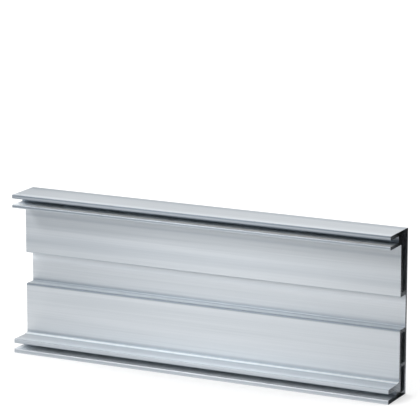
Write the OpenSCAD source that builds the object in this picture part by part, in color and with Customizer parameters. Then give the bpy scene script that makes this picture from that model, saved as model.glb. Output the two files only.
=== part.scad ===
// Mounting rail: one straight length of extruded aluminium stock, sawn square at both ends.
// Its flat back wall carries one hollow chamber above a recess and two below it,
// with a hook groove along the top and a screw groove along the base.
// +X runs along the rail, -Y is its front and +Z is up. The origin is in the middle of the base.

/* [Rail] */
// Length of the cut rail
rail_length = 306; // [60:1:2000]
// Height of the section
rail_height = 122; // [112:0.5:160]
// Depth of the section, from the noses of its lips to its back
rail_depth = 31.5; // [28:0.5:45]

/* [Walls] */
// Thickness of the flat back wall
back_wall = 2.4; // [1.6:0.1:3.5]
// Thickness of the front walls of the chambers
front_wall = 2.4; // [1.6:0.1:3.5]
// Distance from the noses of the lips back to the two front faces
face_setback = 19.5; // [18:0.5:22]

/* [Recess] */
// Height of the recess's lower edge above the base
recess_bottom = 49.8; // [40:0.1:60]
// Opening of the recess between the two front faces
recess_opening = 24; // [10:0.5:35]
// Thickness of the walls above and below the recess
recess_wall = 2.8; // [1.6:0.1:4]

/* [Hook groove] */
// Thickness of the top flange
top_flange = 2.9; // [2:0.1:4]
// Opening of the hook groove under the top flange
hook_opening = 4.7; // [3:0.1:7]
// Thickness of the lip under the hook groove
hook_lip = 2.4; // [1.6:0.1:4]
// Depth of the hook groove, from the noses of its lips
hook_depth = 15; // [6:0.5:17]

/* [Screw groove] */
// Thickness of the base flange
base_flange = 3.2; // [2:0.1:5]
// Opening of the screw groove above the base flange
screw_opening = 4.4; // [3:0.1:7]
// Thickness of the seat lip above the screw groove
seat_lip = 3.3; // [2:0.1:5]
// Depth of the screw groove, from the noses of its lips
screw_depth = 15; // [6:0.5:17]
// Rise of the ramp at the foot of the lower front face
ramp_rise = 1.1; // [0.4:0.1:3]
// Run of that ramp along the seat lip
ramp_run = 4; // [2:0.5:8]

/* [Chambers] */
// Height of the middle of the lower chamber's rib above the base
rib_height = 23.3; // [12:0.1:36]
// Thickness of that rib
rib_wall = 2.2; // [1.4:0.1:4]

/* [Edges] */
// Radius of the noses of the lips
nose_radius = 0.5; // [0.2:0.1:1.4]
// Radius of the front edge below the recess
ledge_radius = 0.8; // [0.2:0.1:2]
// Radius of the other outer edges
edge_radius = 0.5; // [0.1:0.1:1]
// Radius of the fillets in the inner corners
fillet_radius = 0.8; // [0.2:0.1:1.5]

/* [Hidden] */

// Straight strips in a quarter of a round edge
quarter_strips = 6;
// Largest share of a lip's thickness that the radius of one edge of its nose may take
nose_share = 0.48;

// Depths, measured back from the noses of the lips
web_face = rail_depth - back_wall;
chamber_front = face_setback + front_wall;
ramp_front = face_setback - ramp_run;

// Heights, measured up from the base
flange_under = rail_height - top_flange;
hook_lip_top = flange_under - hook_opening;
hook_lip_under = hook_lip_top - hook_lip;
recess_top = recess_bottom + recess_opening;
seat_under = base_flange + screw_opening;
seat_top = seat_under + seat_lip;
ramp_top = seat_top + ramp_rise;

// Radius that the nose of a lip of this thickness takes
function nose(thickness) = min(nose_radius, nose_share * thickness);

// Corners of the outer outline, in order from the base's front: depth, height and radius
outline = [
    [0, 0, nose(base_flange)],
    [rail_depth, 0, edge_radius],
    [rail_depth, rail_height, edge_radius],
    [0, rail_height, nose(top_flange)],
    [0, flange_under, nose(top_flange)],
    [hook_depth, flange_under, fillet_radius],
    [hook_depth, hook_lip_top, fillet_radius],
    [0, hook_lip_top, nose(hook_lip)],
    [0, hook_lip_under, nose(hook_lip)],
    [face_setback, hook_lip_under, fillet_radius],
    [face_setback, recess_top, edge_radius],
    [web_face, recess_top, fillet_radius],
    [web_face, recess_bottom, fillet_radius],
    [face_setback, recess_bottom, ledge_radius],
    [face_setback, ramp_top, edge_radius],
    [ramp_front, seat_top, edge_radius],
    [0, seat_top, nose(seat_lip)],
    [0, seat_under, nose(seat_lip)],
    [screw_depth, seat_under, fillet_radius],
    [screw_depth, base_flange, fillet_radius],
    [0, base_flange, nose(base_flange)],
];

// Corners of a chamber between two heights, with a fillet in each
function chamber(low, high) = [
    [chamber_front, low, fillet_radius],
    [web_face, low, fillet_radius],
    [web_face, high, fillet_radius],
    [chamber_front, high, fillet_radius],
];

chambers = [
    chamber(base_flange, rib_height - rib_wall / 2),
    chamber(rib_height + rib_wall / 2, recess_bottom - recess_wall),
    chamber(recess_top + recess_wall, flange_under),
];

// Depth and height of a corner, without its radius
function place(corner) = [corner[0], corner[1]];

// Unit vector from one point towards another
function heading(from, to) = (to - from) / norm(to - from);

// Points of the arc that rounds a corner between its two neighbours
function arc(before, corner, after) =
    let (
        back = heading(place(corner), place(before)),
        ahead = heading(place(corner), place(after)),
        half = acos(back * ahead) / 2,
        middle = heading([0, 0], back + ahead),
        centre = place(corner) + middle * corner[2] / sin(half),
        first = place(corner) + back * corner[2] / tan(half) - centre,
        sweep = sign(cross(-back, ahead)) * (180 - 2 * half)
    )
    [for (i = [0 : quarter_strips])
        let (turn = sweep * i / quarter_strips)
        centre + [
            first[0] * cos(turn) - first[1] * sin(turn),
            first[0] * sin(turn) + first[1] * cos(turn),
        ]];

// A closed outline with every corner rounded by its own radius
module rounded(corners) {
    count = len(corners);
    polygon([for (i = [0 : count - 1])
        each arc(corners[(i + count - 1) % count], corners[i], corners[(i + 1) % count])]);
}

// The section as it leaves the die: depth to the right, height up
module section() {
    difference() {
        rounded(outline);
        for (hollow = chambers)
            rounded(hollow);
    }
}

module rail() {
    color([0.80, 0.82, 0.84])
        rotate([90, 0, 90])
            linear_extrude(height = rail_length, center = true)
                translate([-rail_depth / 2, 0])
                    section();
}

rail();
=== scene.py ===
"""Satin aluminium mounting rail, dressed and lit as a studio picture of one piece of stock."""

import logging
import math
from dataclasses import dataclass, field
from enum import Enum
from typing import Any, Mapping, Optional, Union

import bmesh
import bpy
from mathutils import Euler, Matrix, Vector


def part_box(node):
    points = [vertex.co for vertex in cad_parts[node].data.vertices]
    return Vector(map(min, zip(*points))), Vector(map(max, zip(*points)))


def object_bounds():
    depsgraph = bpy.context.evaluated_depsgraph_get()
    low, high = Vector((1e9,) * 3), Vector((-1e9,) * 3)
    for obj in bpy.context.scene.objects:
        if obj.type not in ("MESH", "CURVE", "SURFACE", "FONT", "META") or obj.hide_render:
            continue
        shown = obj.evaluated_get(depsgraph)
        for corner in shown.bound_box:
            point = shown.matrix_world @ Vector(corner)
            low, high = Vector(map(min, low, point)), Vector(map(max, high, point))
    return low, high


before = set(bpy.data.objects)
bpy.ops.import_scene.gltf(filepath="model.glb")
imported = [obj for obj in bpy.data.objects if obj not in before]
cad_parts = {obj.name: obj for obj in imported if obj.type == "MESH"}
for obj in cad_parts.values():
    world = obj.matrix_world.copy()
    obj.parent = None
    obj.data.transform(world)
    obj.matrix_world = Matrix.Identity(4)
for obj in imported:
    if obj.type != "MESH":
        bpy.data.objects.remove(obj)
CAD_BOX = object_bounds()

log = logging.getLogger("mounting_rail")

# A millimetre in metres: the rail's sizes are written in millimetres, the scene is in metres
MM = 0.001
# Width and height of the photograph's frame, in pixels
PHOTO_PIXELS = 420
SENSOR_WIDTH_MM = 36.0
CLIP_END_M = 100.0
# The point that the lamps and the standing cards face
RAIL_MIDDLE = (CAD_BOX[0] + CAD_BOX[1]) / 2

# Nearly all values of a noise lie in this range, which is spread out to 0 and 1
NOISE_RANGE = {"From Min": 0.3, "From Max": 0.7}
# Finer noises that are added to the first one, for the streaks and for the tooth marks
STREAK_DETAIL = 2.0
TOOTH_DETAIL = 3.0

# Mix and Map Range have a set of sockets for each type of data, told apart by number
MIX_FACTOR = 0
NUMBER_A, NUMBER_B, NUMBER_OUT = 2, 3, 0
COLOUR_A, COLOUR_B, COLOUR_OUT = 6, 7, 2
RANGE_VECTOR, RANGE_TO_MIN, RANGE_TO_MAX = 6, 9, 10


def linear_rgba(hex_colour: str) -> tuple[float, float, float, float]:
    """Turns an sRGB hex colour to the linear colour that shaders take.

    Args:
        hex_colour: Six hex digits, with or without a leading hash.

    Returns:
        Linear red, green and blue, with an alpha of one.
    """
    digits = hex_colour.lstrip("#")
    parts = [int(digits[i:i + 2], 16) / 255 for i in (0, 2, 4)]
    linear = [p / 12.92 if p <= 0.04045 else ((p + 0.055) / 1.055) ** 2.4 for p in parts]
    return (linear[0], linear[1], linear[2], 1.0)


def add_node(
    tree: bpy.types.NodeTree,
    kind: str,
    values: Optional[Mapping[Union[str, int], Any]] = None,
    links: Optional[Mapping[Union[str, int], bpy.types.NodeSocket]] = None,
    **settings: Any,
) -> bpy.types.Node:
    """Adds one node with its settings, its socket values and its incoming links.

    Args:
        tree: The node tree that takes the node.
        kind: Blender's type name of the node.
        values: Input socket name or index, and the value to set there.
        links: Input socket name or index, and the output socket that feeds it.
        **settings: Properties of the node itself, such as its operation.

    Returns:
        The new node.
    """
    node = tree.nodes.new(kind)
    for name, value in settings.items():
        setattr(node, name, value)
    for key, value in (values or {}).items():
        node.inputs[key].default_value = value
    for key, source in (links or {}).items():
        tree.links.new(source, node.inputs[key])
    return node


def bare_material(name: str) -> bpy.types.Material:
    """Makes a material whose node tree is still empty.

    Args:
        name: Name of the real material and of how its surface was made.

    Returns:
        The new material.
    """
    made = bpy.data.materials.new(name)
    made.use_nodes = True
    made.node_tree.nodes.clear()
    return made


@dataclass(frozen=True)
class Streaks:
    """Lines that the die draws along the rail, as a stretched noise.

    Attributes:
        width_mm: Distance across one streak.
        length_mm: Distance along the rail over which a streak fades.
        share: Share of this layer in the mixed pattern.
    """

    width_mm: float
    length_mm: float
    share: float


@dataclass(frozen=True)
class PaintedLightBand:
    """A lengthwise band of painted shade or painted highlight along an edge or groove.

    Attributes:
        depth_mm: Place of its middle, back from the noses of the lips.
        height_mm: Place of its middle, up from the base.
        deep_mm: Distance in depth at which the band has faded out.
        high_mm: Distance in height at which the band has faded out.
        tone: What the band multiplies the metal's colour by at its middle.
    """

    depth_mm: float
    height_mm: float
    deep_mm: float
    high_mm: float
    tone: float


@dataclass(frozen=True)
class MillFinishWithPaintedLight:
    """Aluminium as it leaves the die, with bands of painted shade and painted highlight over it.

    Attributes:
        name: Name of the material.
        dark_hex: Colour where the streaks are darkest.
        light_hex: Colour where the streaks are lightest.
        metallic: Share of bare metal.
        roughness_low: Roughness where the streaks are darkest.
        roughness_high: Roughness where the streaks are lightest.
        stretch: How much further reflections smear across the lines than along them.
        line_depth_mm: Depth of the streaks' relief.
        line_strength: Share of the relief that the shading takes.
        layers: Streaks of several widths, which add up to one pattern.
        painted_light_bands: Bands of painted shade and painted highlight along the edges and
            grooves.
        painted_shade_tint: Powers of a painted shade band's tone for red, green and blue, which
            make it bluer.
    """

    # Bare aluminium that the die has drawn lines along: to the eye a satin, slightly blue
    # grey with streaks along the rail, and reflections that smear across them. Real die lines
    # are hundredths of a millimetre wide. They are drawn at half a millimetre and more, to show.
    name: str = "extruded_aluminium_mill_finish_and_painted_light"
    dark_hex: str = "#BEC4C9"
    light_hex: str = "#D4D8DC"
    metallic: float = 1.0
    roughness_low: float = 0.36
    roughness_high: float = 0.46
    stretch: float = 0.85
    line_depth_mm: float = 0.006
    line_strength: float = 0.6
    layers: tuple[Streaks, ...] = (
        Streaks(width_mm=8.0, length_mm=320.0, share=0.45),
        Streaks(width_mm=1.6, length_mm=180.0, share=0.35),
        Streaks(width_mm=0.5, length_mm=70.0, share=0.20),
    )
    # Painted light and shade: bands under 1 are painted shade in the grooves, under the hook lip,
    # in the recess and along the edges; bands over 1 are painted highlights on the top faces, the
    # lips' top edges, the ramp and the top of the recess.
    painted_light_bands: tuple[PaintedLightBand, ...] = (
        # Top face, and nose of the top flange
        PaintedLightBand(depth_mm=29.5, height_mm=122.0, deep_mm=9.0, high_mm=0.5, tone=0.78),
        PaintedLightBand(depth_mm=3.0, height_mm=122.0, deep_mm=6.0, high_mm=0.5, tone=1.20),
        PaintedLightBand(depth_mm=0.0, height_mm=121.6, deep_mm=1.0, high_mm=1.8, tone=0.43),
        PaintedLightBand(depth_mm=0.0, height_mm=119.4, deep_mm=1.0, high_mm=1.5, tone=0.50),
        # Hook groove, and top and nose of its lip
        PaintedLightBand(depth_mm=15.0, height_mm=115.2, deep_mm=10.0, high_mm=3.6, tone=0.38),
        PaintedLightBand(depth_mm=4.0, height_mm=114.5, deep_mm=8.0, high_mm=0.8, tone=1.75),
        PaintedLightBand(depth_mm=0.0, height_mm=113.4, deep_mm=1.0, high_mm=1.6, tone=0.59),
        # Upper face
        PaintedLightBand(depth_mm=19.5, height_mm=103.4, deep_mm=1.0, high_mm=2.4, tone=0.86),
        PaintedLightBand(depth_mm=19.5, height_mm=84.5, deep_mm=1.0, high_mm=7.0, tone=0.92),
        PaintedLightBand(depth_mm=19.5, height_mm=74.0, deep_mm=1.0, high_mm=0.8, tone=0.78),
        # Recess, and the edge below it
        PaintedLightBand(depth_mm=29.1, height_mm=68.0, deep_mm=2.0, high_mm=5.0, tone=1.24),
        PaintedLightBand(depth_mm=29.1, height_mm=50.6, deep_mm=3.0, high_mm=3.2, tone=0.70),
        PaintedLightBand(depth_mm=19.5, height_mm=49.4, deep_mm=3.0, high_mm=1.8, tone=0.43),
        # Foot of the lower face, ramp, and top and nose of the seat lip
        PaintedLightBand(depth_mm=19.5, height_mm=12.6, deep_mm=1.0, high_mm=2.6, tone=0.69),
        PaintedLightBand(depth_mm=17.5, height_mm=11.4, deep_mm=2.6, high_mm=1.3, tone=1.75),
        PaintedLightBand(depth_mm=15.2, height_mm=10.9, deep_mm=1.2, high_mm=0.6, tone=0.86),
        PaintedLightBand(depth_mm=3.0, height_mm=10.9, deep_mm=6.0, high_mm=0.5, tone=1.20),
        PaintedLightBand(depth_mm=0.2, height_mm=10.7, deep_mm=0.9, high_mm=0.6, tone=0.72),
        PaintedLightBand(depth_mm=0.0, height_mm=9.2, deep_mm=1.0, high_mm=2.0, tone=0.81),
        PaintedLightBand(depth_mm=0.0, height_mm=7.6, deep_mm=1.0, high_mm=1.2, tone=0.54),
        # Screw groove, and top and nose of the base flange
        PaintedLightBand(depth_mm=15.0, height_mm=4.0, deep_mm=10.0, high_mm=2.8, tone=0.66),
        PaintedLightBand(depth_mm=3.5, height_mm=3.2, deep_mm=7.0, high_mm=0.6, tone=1.50),
        PaintedLightBand(depth_mm=0.0, height_mm=1.7, deep_mm=1.0, high_mm=1.6, tone=0.77),
    )
    painted_shade_tint: tuple[float, float, float] = (1.12, 1.0, 0.88)


@dataclass(frozen=True)
class SawnFinish:
    """Aluminium cut across by a saw.

    Attributes:
        dark_hex: Colour in the tooth marks.
        light_hex: Colour between them.
        roughness: Roughness of the cut.
        tooth_spacing_mm: Distance between tooth marks.
        tooth_tilt_deg: Turn of the marks from level.
        tooth_depth_mm: Depth of the marks.
        skin_mm: Distance from the plane of a cut within which a surface counts as cut.
    """

    # A cut end has lost the drawn skin: to the eye it is a duller grey with parallel
    #     # scratches, and its grey is darker still as painted shade, for ends that face away from
    #     the
    #     # lamps. Real tooth marks are a few tenths of a millimetre apart. They are drawn wider
    #     # apart here, to show.
    dark_hex: str = "#585E64"
    light_hex: str = "#90969C"
    roughness: float = 0.34
    tooth_spacing_mm: float = 0.9
    tooth_tilt_deg: float = 24.0
    tooth_depth_mm: float = 0.01
    skin_mm: float = 0.05


@dataclass(frozen=True)
class Patterns:
    """Sockets that the rail's colour, gloss and relief share.

    Attributes:
        place_mm: Object coordinates in millimetres.
        streaks: Lines along the drawn surfaces, from 0 to 1.
        teeth: Tooth marks across the sawn ends, from 0 to 1.
        is_end: 1 on a sawn end, else 0.
    """

    place_mm: bpy.types.NodeSocket
    streaks: bpy.types.NodeSocket
    teeth: bpy.types.NodeSocket
    is_end: bpy.types.NodeSocket


@dataclass
class Rail:
    """The rail: one extruded length that keeps its solid and gets its finish here.

    Attributes:
        node: Name of the solid.
        mill: Finish of the drawn surfaces, with its painted shade and highlight bands.
        sawn: Finish of the two cut ends.
    """

    node: str = "rail"
    mill: MillFinishWithPaintedLight = field(default_factory=MillFinishWithPaintedLight)
    sawn: SawnFinish = field(default_factory=SawnFinish)

    @property
    def half_length_mm(self) -> float:
        """Distance from the middle of the rail to a cut end."""
        low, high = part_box(self.node)
        return (high[0] - low[0]) / 2 / MM

    @property
    def nose_mm(self) -> float:
        """Place of the lips' noses on the Y axis, from which depths are measured."""
        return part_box(self.node)[0][1] / MM

    def streak_layer(
        self, tree: bpy.types.NodeTree, place_mm: bpy.types.NodeSocket, layer: Streaks
    ) -> bpy.types.NodeSocket:
        """Draws one layer of lengthwise lines.

        Args:
            tree: Tree of the material.
            place_mm: Object coordinates in millimetres.
            layer: Width, length and share of the lines.

        Returns:
            A value from 0 to 1 that varies across the lines.
        """
        stretch = (1 / layer.length_mm, 1 / layer.width_mm, 1 / layer.width_mm)
        across = add_node(
            tree, "ShaderNodeVectorMath", {1: stretch}, {0: place_mm}, operation="MULTIPLY"
        )
        noise = add_node(
            tree,
            "ShaderNodeTexNoise",
            {"Scale": 1.0, "Detail": STREAK_DETAIL},
            {"Vector": across.outputs[0]},
        )
        spread = add_node(
            tree, "ShaderNodeMapRange", NOISE_RANGE, {"Value": noise.outputs["Fac"]}
        )
        return spread.outputs["Result"]

    def streaks(
        self, tree: bpy.types.NodeTree, place_mm: bpy.types.NodeSocket
    ) -> bpy.types.NodeSocket:
        """Adds up the layers of lengthwise lines, by their shares.

        Args:
            tree: Tree of the material.
            place_mm: Object coordinates in millimetres.

        Returns:
            A value from 0 to 1 that varies across the rail.
        """
        first, *others = (
            add_node(
                tree,
                "ShaderNodeMath",
                {1: layer.share},
                {0: self.streak_layer(tree, place_mm, layer)},
                operation="MULTIPLY",
            ).outputs[0]
            for layer in self.mill.layers
        )
        total = first
        for part in others:
            total = add_node(
                tree, "ShaderNodeMath", links={0: total, 1: part}, operation="ADD"
            ).outputs[0]
        return total

    def tooth_marks(
        self, tree: bpy.types.NodeTree, place_mm: bpy.types.NodeSocket
    ) -> bpy.types.NodeSocket:
        """Draws the parallel marks of the saw's teeth.

        Args:
            tree: Tree of the material.
            place_mm: Object coordinates in millimetres.

        Returns:
            A value from 0 to 1 that varies across the marks.
        """
        tilt = math.radians(self.sawn.tooth_tilt_deg)
        pitch = 1 / self.sawn.tooth_spacing_mm
        across = add_node(
            tree,
            "ShaderNodeVectorMath",
            {1: (0.0, math.sin(tilt) * pitch, math.cos(tilt) * pitch)},
            {0: place_mm},
            operation="DOT_PRODUCT",
        )
        noise = add_node(
            tree,
            "ShaderNodeTexNoise",
            {"Scale": 1.0, "Detail": TOOTH_DETAIL},
            {"W": across.outputs["Value"]},
            noise_dimensions="1D",
        )
        spread = add_node(
            tree, "ShaderNodeMapRange", NOISE_RANGE, {"Value": noise.outputs["Fac"]}
        )
        return spread.outputs["Result"]

    def end_mask(
        self, tree: bpy.types.NodeTree, place_mm: bpy.types.NodeSocket
    ) -> bpy.types.NodeSocket:
        """Finds the two ends: all that lies within a hair of the planes of the cuts.

        Args:
            tree: Tree of the material.
            place_mm: Object coordinates in millimetres.

        Returns:
            1 on a sawn end, else 0.
        """
        split = add_node(tree, "ShaderNodeSeparateXYZ", links={0: place_mm})
        from_middle = add_node(
            tree, "ShaderNodeMath", links={0: split.outputs["X"]}, operation="ABSOLUTE"
        )
        return add_node(
            tree,
            "ShaderNodeMath",
            {1: self.half_length_mm - self.sawn.skin_mm},
            {0: from_middle.outputs[0]},
            operation="GREATER_THAN",
        ).outputs[0]

    def patterns(self, tree: bpy.types.NodeTree) -> Patterns:
        """Draws everything that the rail's colour, gloss and relief share.

        Args:
            tree: Tree of the material.

        Returns:
            The sockets of the patterns.
        """
        coordinates = add_node(tree, "ShaderNodeTexCoord")
        place_mm = add_node(
            tree,
            "ShaderNodeVectorMath",
            {"Scale": 1 / MM},
            {0: coordinates.outputs["Object"]},
            operation="SCALE",
        ).outputs[0]
        return Patterns(
            place_mm=place_mm,
            streaks=self.streaks(tree, place_mm),
            teeth=self.tooth_marks(tree, place_mm),
            is_end=self.end_mask(tree, place_mm),
        )

    def with_painted_light(
        self,
        tree: bpy.types.NodeTree,
        place_mm: bpy.types.NodeSocket,
        colour: bpy.types.NodeSocket,
    ) -> bpy.types.NodeSocket:
        """Paints the bands of shade and highlight over a colour.

        Args:
            tree: Tree of the material.
            place_mm: Object coordinates in millimetres.
            colour: Colour of the metal between the bands.

        Returns:
            The colour with its painted shade and highlight.
        """
        # The tone outside a band, and the powers of a painted highlight band, which keeps its hue
        plain = (1.0, 1.0, 1.0)
        for painted_band in self.mill.painted_light_bands:
            # Distance from the painted band's middle, in reaches: 0 in the middle, 1 where it has
            # faded
            per_reach = Vector((0.0, 1 / painted_band.deep_mm, 1 / painted_band.high_mm))
            middle = Vector((0.0, self.nose_mm + painted_band.depth_mm, painted_band.height_mm)) * per_reach
            in_reaches = add_node(
                tree,
                "ShaderNodeVectorMath",
                {1: per_reach},
                {0: place_mm},
                operation="MULTIPLY",
            )
            away = add_node(
                tree,
                "ShaderNodeVectorMath",
                {1: middle},
                {0: in_reaches.outputs[0]},
                operation="DISTANCE",
            )
            # Painted shade bands are tinted a little bluer; painted highlight bands keep the hue
            powers = self.mill.painted_shade_tint if painted_band.tone < 1 else plain
            tone = add_node(
                tree,
                "ShaderNodeMapRange",
                {RANGE_TO_MIN: [painted_band.tone ** power for power in powers], RANGE_TO_MAX: plain},
                {RANGE_VECTOR: away.outputs["Value"]},
                data_type="FLOAT_VECTOR",
                interpolation_type="SMOOTHSTEP",
            )
            colour = add_node(
                tree,
                "ShaderNodeVectorMath",
                links={0: colour, 1: tone.outputs["Vector"]},
                operation="MULTIPLY",
            ).outputs[0]
        return colour

    def colour(self, tree: bpy.types.NodeTree, drawn: Patterns) -> bpy.types.NodeSocket:
        """Colours the drawn surfaces with their streaks and their bands of painted shade and
        highlight, and the sawn ends.

        Args:
            tree: Tree of the material.
            drawn: Patterns of the rail.

        Returns:
            The colour.
        """
        # The sawn ends' darker grey is partly painted shade
        streaked, sawn = (
            add_node(
                tree,
                "ShaderNodeMix",
                {COLOUR_A: linear_rgba(finish.dark_hex), COLOUR_B: linear_rgba(finish.light_hex)},
                {MIX_FACTOR: pattern},
                data_type="RGBA",
            ).outputs[COLOUR_OUT]
            for finish, pattern in ((self.mill, drawn.streaks), (self.sawn, drawn.teeth))
        )
        # Bands of painted shade and painted highlight over the streaked colour
        painted_colour = self.with_painted_light(tree, drawn.place_mm, streaked)
        return add_node(
            tree,
            "ShaderNodeMix",
            links={MIX_FACTOR: drawn.is_end, COLOUR_A: painted_colour, COLOUR_B: sawn},
            data_type="RGBA",
        ).outputs[COLOUR_OUT]

    def roughness(self, tree: bpy.types.NodeTree, drawn: Patterns) -> bpy.types.NodeSocket:
        """Makes the light streaks duller than the dark ones, and the sawn ends even.

        Args:
            tree: Tree of the material.
            drawn: Patterns of the rail.

        Returns:
            The roughness.
        """
        streaked = add_node(
            tree,
            "ShaderNodeMapRange",
            {"To Min": self.mill.roughness_low, "To Max": self.mill.roughness_high},
            {"Value": drawn.streaks},
        )
        return add_node(
            tree,
            "ShaderNodeMix",
            {NUMBER_B: self.sawn.roughness},
            {MIX_FACTOR: drawn.is_end, NUMBER_A: streaked.outputs["Result"]},
            data_type="FLOAT",
        ).outputs[NUMBER_OUT]

    def relief(self, tree: bpy.types.NodeTree, drawn: Patterns) -> bpy.types.NodeSocket:
        """Gives the streaks and the tooth marks their depth.

        Args:
            tree: Tree of the material.
            drawn: Patterns of the rail.

        Returns:
            The normal of the uneven surface.
        """
        line_mm, tooth_mm = (
            add_node(
                tree, "ShaderNodeMath", {1: depth_mm}, {0: pattern}, operation="MULTIPLY"
            ).outputs[0]
            for pattern, depth_mm in (
                (drawn.streaks, self.mill.line_depth_mm),
                (drawn.teeth, self.sawn.tooth_depth_mm),
            )
        )
        height_mm = add_node(
            tree,
            "ShaderNodeMix",
            links={MIX_FACTOR: drawn.is_end, NUMBER_A: line_mm, NUMBER_B: tooth_mm},
            data_type="FLOAT",
        )
        return add_node(
            tree,
            "ShaderNodeBump",
            {"Strength": self.mill.line_strength, "Distance": MM},
            {"Height": height_mm.outputs[NUMBER_OUT]},
        ).outputs["Normal"]

    def material(self) -> bpy.types.Material:
        """Makes the rail's material: mill finish with painted shade and highlight bands on the
        drawn faces, sawn grey on the ends.

        Returns:
            The finished material.
        """
        made = bare_material(self.mill.name)
        tree = made.node_tree
        drawn = self.patterns(tree)
        # The lines run along X, so light spreads further across them, around the X axis
        across = add_node(tree, "ShaderNodeTangent", direction_type="RADIAL", axis="X")
        shader = add_node(
            tree,
            "ShaderNodeBsdfPrincipled",
            {"Metallic": self.mill.metallic, "Anisotropic": self.mill.stretch},
            {
                "Base Color": self.colour(tree, drawn),
                "Roughness": self.roughness(tree, drawn),
                "Normal": self.relief(tree, drawn),
                "Tangent": across.outputs["Tangent"],
            },
        )
        add_node(tree, "ShaderNodeOutputMaterial", links={"Surface": shader.outputs["BSDF"]})
        return made

    def dress(self) -> None:
        """Gives the solid its material."""
        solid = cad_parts[self.node]
        solid.data.materials.clear()
        solid.data.materials.append(self.material())
        log.info("dressed %s in %s", self.node, self.mill.name)


@dataclass
class PhotoCamera:
    """Camera at the photograph's viewing angle.

    Attributes:
        place_mm: Where the camera stands, in the rail's frame.
        yaw_deg: Turn to the left from looking along +Y.
        pitch_deg: Tilt down from the horizon.
        focal_pixels: Focal length in pixels of the photograph.
    """

    place_mm: tuple[float, float, float] = (863.7, -1708.75, 549.1)
    yaw_deg: float = 26.70
    pitch_deg: float = 12.56
    focal_pixels: float = 2703.0

    def build(self) -> bpy.types.Object:
        """Makes the camera and sets it as the scene's.

        Returns:
            The camera object.
        """
        data = bpy.data.cameras.new("photo_camera")
        data.sensor_width = SENSOR_WIDTH_MM
        data.lens = self.focal_pixels / PHOTO_PIXELS * SENSOR_WIDTH_MM
        data.clip_end = CLIP_END_M
        camera = bpy.data.objects.new("photo_camera", data)
        camera.location = Vector(self.place_mm) * MM
        camera.rotation_euler = (
            math.radians(90 - self.pitch_deg),
            0.0,
            math.radians(self.yaw_deg),
        )
        bpy.context.scene.collection.objects.link(camera)
        bpy.context.scene.camera = camera
        log.info("camera with a %.0f mm lens", data.lens)
        return camera


class Shade(Enum):
    """Felt that a studio card is covered with."""

    BLACK = "#1A1A1A"
    GREY = "#808080"
    PALE = "#B4B4B4"
    BLUE = "#34465A"
    SLATE = "#5C6C7C"


@dataclass(frozen=True)
class SoftLamp:
    """A soft box: a rectangular lamp that looks at the middle of the rail.

    Attributes:
        name: Name of the lamp.
        azimuth_deg: Bearing of the lamp, 0 in front of the rail and 90 to its right.
        elevation_deg: Height above the horizon.
        distance_m: Distance from the rail.
        width_m: Width of the lamp.
        height_m: Height of the lamp.
        watts: Power of the lamp.
    """

    name: str
    azimuth_deg: float
    elevation_deg: float
    distance_m: float
    width_m: float
    height_m: float
    watts: float

    @property
    def place_m(self) -> Vector:
        """Where the lamp stands, in metres in the rail's frame."""
        bearing = math.radians(self.azimuth_deg)
        rise = math.radians(self.elevation_deg)
        away = Vector(
            (
                math.sin(bearing) * math.cos(rise),
                -math.cos(bearing) * math.cos(rise),
                math.sin(rise),
            )
        )
        return RAIL_MIDDLE + away * self.distance_m


@dataclass(frozen=True)
class Card:
    """A felt card that only the metal sees: it darkens what the metal mirrors.

    Attributes:
        name: Name of the card.
        shade: Felt of the card.
        middle_m: Place of its middle, in metres in the rail's frame.
        width_m: Width of the card.
        height_m: Height of the card.
        lies: True for a card that lies flat, with its width along the rail; one that
            stands faces the middle of the rail.
    """

    name: str
    shade: Shade
    middle_m: tuple[float, float, float]
    width_m: float
    height_m: float
    lies: bool = False


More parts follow.
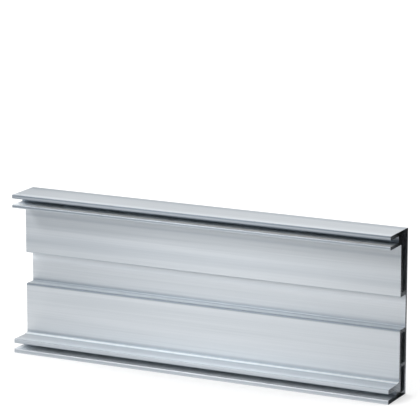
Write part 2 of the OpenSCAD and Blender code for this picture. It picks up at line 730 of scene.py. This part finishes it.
@dataclass
class Studio:
    """Pale floor, white surround, soft lamps and felt cards.

    Attributes:
        floor_side_m: Side of the square floor.
        floor_hex: Colour of the floor.
        floor_glow: What the floor adds to its lit colour where it is seen, to show as white.
        surround_light: Level of the surround, which is white at 1.
        lamps: The soft lamps.
        cards: The felt cards.
    """

    floor_side_m: float = 24.0
    floor_hex: str = "#F0F0F0"
    floor_glow: float = 0.20
    surround_light: float = 1.0
    lamps: tuple[SoftLamp, ...] = (
        # High on the left: lights the floor and the mats, which the upright faces mirror
        SoftLamp(
            name="left_lamp", azimuth_deg=-95.0, elevation_deg=55.0, distance_m=2.0,
            width_m=0.8, height_m=0.8, watts=3.3,
        ),
        # Low in front: brightens the seat, the ledge and the lips
        SoftLamp(
            name="front_lamp", azimuth_deg=-26.0, elevation_deg=20.0, distance_m=0.9,
            width_m=0.2, height_m=0.2, watts=0.6,
        ),
        # Where the ramp mirrors it to the camera
        SoftLamp(
            name="ramp_lamp", azimuth_deg=-31.5, elevation_deg=40.0, distance_m=1.4,
            width_m=0.6, height_m=0.3, watts=3.8,
        ),
        # Where the top face mirrors it to the camera
        SoftLamp(
            name="back_lamp", azimuth_deg=-160.0, elevation_deg=15.0, distance_m=2.5,
            width_m=0.5, height_m=0.4, watts=0.6,
        ),
    )
    cards: tuple[Card, ...] = (
        # Above the rail and in front of it, for the seat, the ledge and the lips
        Card("top_card", Shade.BLACK, middle_m=(-0.36, -0.18, 0.97), width_m=1.2, height_m=0.6),
        Card("front_card", Shade.GREY, middle_m=(-0.80, -2.2, 0.55), width_m=5.0, height_m=1.0),
        # On the floor in front, for the upright faces
        Card(
            "front_mat", Shade.PALE, middle_m=(-0.30, -1.2, 0.003),
            width_m=3.0, height_m=2.0, lies=True,
        ),
        Card(
            "left_mat", Shade.SLATE, middle_m=(-0.95, -0.80, 0.005),
            width_m=1.38, height_m=1.0, lies=True,
        ),
        # Behind, for the left of the top face
        Card("back_card", Shade.BLUE, middle_m=(-0.93, 0.62, 0.30), width_m=0.8, height_m=0.5),
        # By the right end, for the sawn face and for the mouths of the chambers and grooves
        Card("right_card", Shade.BLACK, middle_m=(0.29, 0.24, 0.12), width_m=0.7, height_m=0.24),
        Card("mouth_card", Shade.BLACK, middle_m=(0.27, -0.06, 0.06), width_m=0.26, height_m=0.26),
        # Grey and black sheets on the floor by the right end, where the floor lies in the rail's
        # shadow: the sawn end mirrors them as painted shadow
        Card(
            "right_mat", Shade.GREY, middle_m=(0.235, 0.13, 0.0007),
            width_m=0.12, height_m=0.22, lies=True,
        ),
        Card(
            "foot_mat", Shade.BLACK, middle_m=(0.157, -0.007, 0.0005),
            width_m=0.008, height_m=0.046, lies=True,
        ),
    )

    def facing(self, place: Vector) -> Euler:
        """Works out the turn that faces a lamp or card to the middle of the rail.

        Args:
            place: Where the lamp or card stands.

        Returns:
            Its turn.
        """
        return (RAIL_MIDDLE - place).to_track_quat("-Z", "Y").to_euler()

    def build_sheet(
        self,
        name: str,
        size_m: tuple[float, float],
        turn: Euler,
        place: Vector,
        material: bpy.types.Material,
    ) -> bpy.types.Object:
        """Makes a flat sheet, with its turn and its place in its mesh.

        Args:
            name: Name of the sheet.
            size_m: Its width and height.
            turn: Its turn from lying flat.
            place: Where its middle is.
            material: What it is made of.

        Returns:
            The sheet.
        """
        mesh = bpy.data.meshes.new(name)
        shape = bmesh.new()
        bmesh.ops.create_grid(shape, x_segments=1, y_segments=1, size=0.5)
        bmesh.ops.scale(shape, vec=(*size_m, 1.0), verts=shape.verts)
        bmesh.ops.rotate(shape, matrix=turn.to_matrix(), verts=shape.verts)
        bmesh.ops.translate(shape, vec=place, verts=shape.verts)
        shape.to_mesh(mesh)
        shape.free()
        mesh.materials.append(material)
        sheet = bpy.data.objects.new(name, mesh)
        bpy.context.scene.collection.objects.link(sheet)
        return sheet

    def seen_directly(self, tree: bpy.types.NodeTree) -> bpy.types.NodeSocket:
        """Tells rays that see the floor as it is from those that only gather light.

        Args:
            tree: Tree of the floor's material.

        Returns:
            1 for camera, mirror-like and transmitted rays, else 0.
        """
        path = add_node(tree, "ShaderNodeLightPath")
        seen = path.outputs["Is Camera Ray"]
        for kind in ("Is Glossy Ray", "Is Transmission Ray"):
            seen = add_node(
                tree,
                "ShaderNodeMath",
                links={0: seen, 1: path.outputs[kind]},
                operation="MAXIMUM",
            ).outputs[0]
        return seen

    def paper(self) -> bpy.types.Material:
        """Makes the floor's material.

        Returns:
            The finished material.
        """
        # Matt paper: to the eye an even white without any gloss, with a soft shadow on it
        made = bare_material("matt_paper_floor")
        tree = made.node_tree
        lit = add_node(tree, "ShaderNodeBsdfDiffuse", {"Color": linear_rgba(self.floor_hex)})
        glow_level = add_node(
            tree,
            "ShaderNodeMath",
            {1: self.floor_glow},
            {0: self.seen_directly(tree)},
            operation="MULTIPLY",
        )
        glow = add_node(
            tree, "ShaderNodeEmission", links={"Strength": glow_level.outputs[0]}
        )
        both = add_node(
            tree,
            "ShaderNodeAddShader",
            links={0: lit.outputs["BSDF"], 1: glow.outputs["Emission"]},
        )
        add_node(tree, "ShaderNodeOutputMaterial", links={"Surface": both.outputs["Shader"]})
        return made

    def felt(self, card: Card) -> bpy.types.Material:
        """Makes the material of a card.

        Args:
            card: The card, with its shade.

        Returns:
            The finished material.
        """
        # Felt: to the eye a dead matt cloth, which gives the metal an even tone to mirror
        made = bare_material(f"{card.name}_felt")
        tree = made.node_tree
        cloth = add_node(
            tree, "ShaderNodeBsdfDiffuse", {"Color": linear_rgba(card.shade.value)}
        )
        add_node(tree, "ShaderNodeOutputMaterial", links={"Surface": cloth.outputs["BSDF"]})
        return made

    def build_floor(self) -> None:
        """Makes the pale floor, which keeps the rail's shadow."""
        side = self.floor_side_m
        floor = self.build_sheet("floor", (side, side), Euler(), Vector(), self.paper())
        log.info("floor of %.0f m", side)

    def build_surround(self) -> None:
        """Makes the white surround, at the level at which white renders as white."""
        world = bpy.data.worlds.new("white_surround")
        bpy.context.scene.world = world
        world.use_nodes = True
        tree = world.node_tree
        tree.nodes.clear()
        light = add_node(
            tree,
            "ShaderNodeBackground",
            {"Color": (1.0, 1.0, 1.0, 1.0), "Strength": self.surround_light},
        )
        add_node(tree, "ShaderNodeOutputWorld", links={"Surface": light.outputs["Background"]})
        log.info("surround at %.2f", self.surround_light)

    def build_lamp(self, lamp: SoftLamp) -> None:
        """Makes one soft lamp, unseen by the camera.

        Args:
            lamp: Place, size and power of the lamp.
        """
        data = bpy.data.lights.new(lamp.name, "AREA")
        data.shape = "RECTANGLE"
        data.size = lamp.width_m
        data.size_y = lamp.height_m
        data.energy = lamp.watts
        lit = bpy.data.objects.new(lamp.name, data)
        lit.location = lamp.place_m
        lit.rotation_euler = self.facing(lamp.place_m)
        lit.visible_camera = False
        bpy.context.scene.collection.objects.link(lit)
        log.info("%s of %.1f W", lamp.name, lamp.watts)

    def build_card(self, card: Card) -> None:
        """Makes one felt card, unseen by the camera and without a shadow.

        Args:
            card: Place, size and felt of the card.
        """
        place = Vector(card.middle_m)
        turn = Euler() if card.lies else self.facing(place)
        size = (card.width_m, card.height_m)
        made = self.build_sheet(card.name, size, turn, place, self.felt(card))
        made.visible_camera = False
        made.visible_diffuse = False
        made.visible_shadow = False
        log.info("%s of %.3f by %.3f m", card.name, card.width_m, card.height_m)

    def build(self) -> None:
        """Makes the floor, the surround, the lamps and the cards."""
        self.build_floor()
        self.build_surround()
        for lamp in self.lamps:
            self.build_lamp(lamp)
        for card in self.cards:
            self.build_card(card)


def main() -> None:
    """Builds the picture: camera, studio, then the rail's finish."""
    logging.basicConfig(level=logging.INFO, format="%(name)s: %(message)s")
    bpy.context.scene.view_settings.view_transform = "Standard"
    PhotoCamera().build()
    Studio().build()
    Rail().dress()


if __name__ == "__main__":
    main()
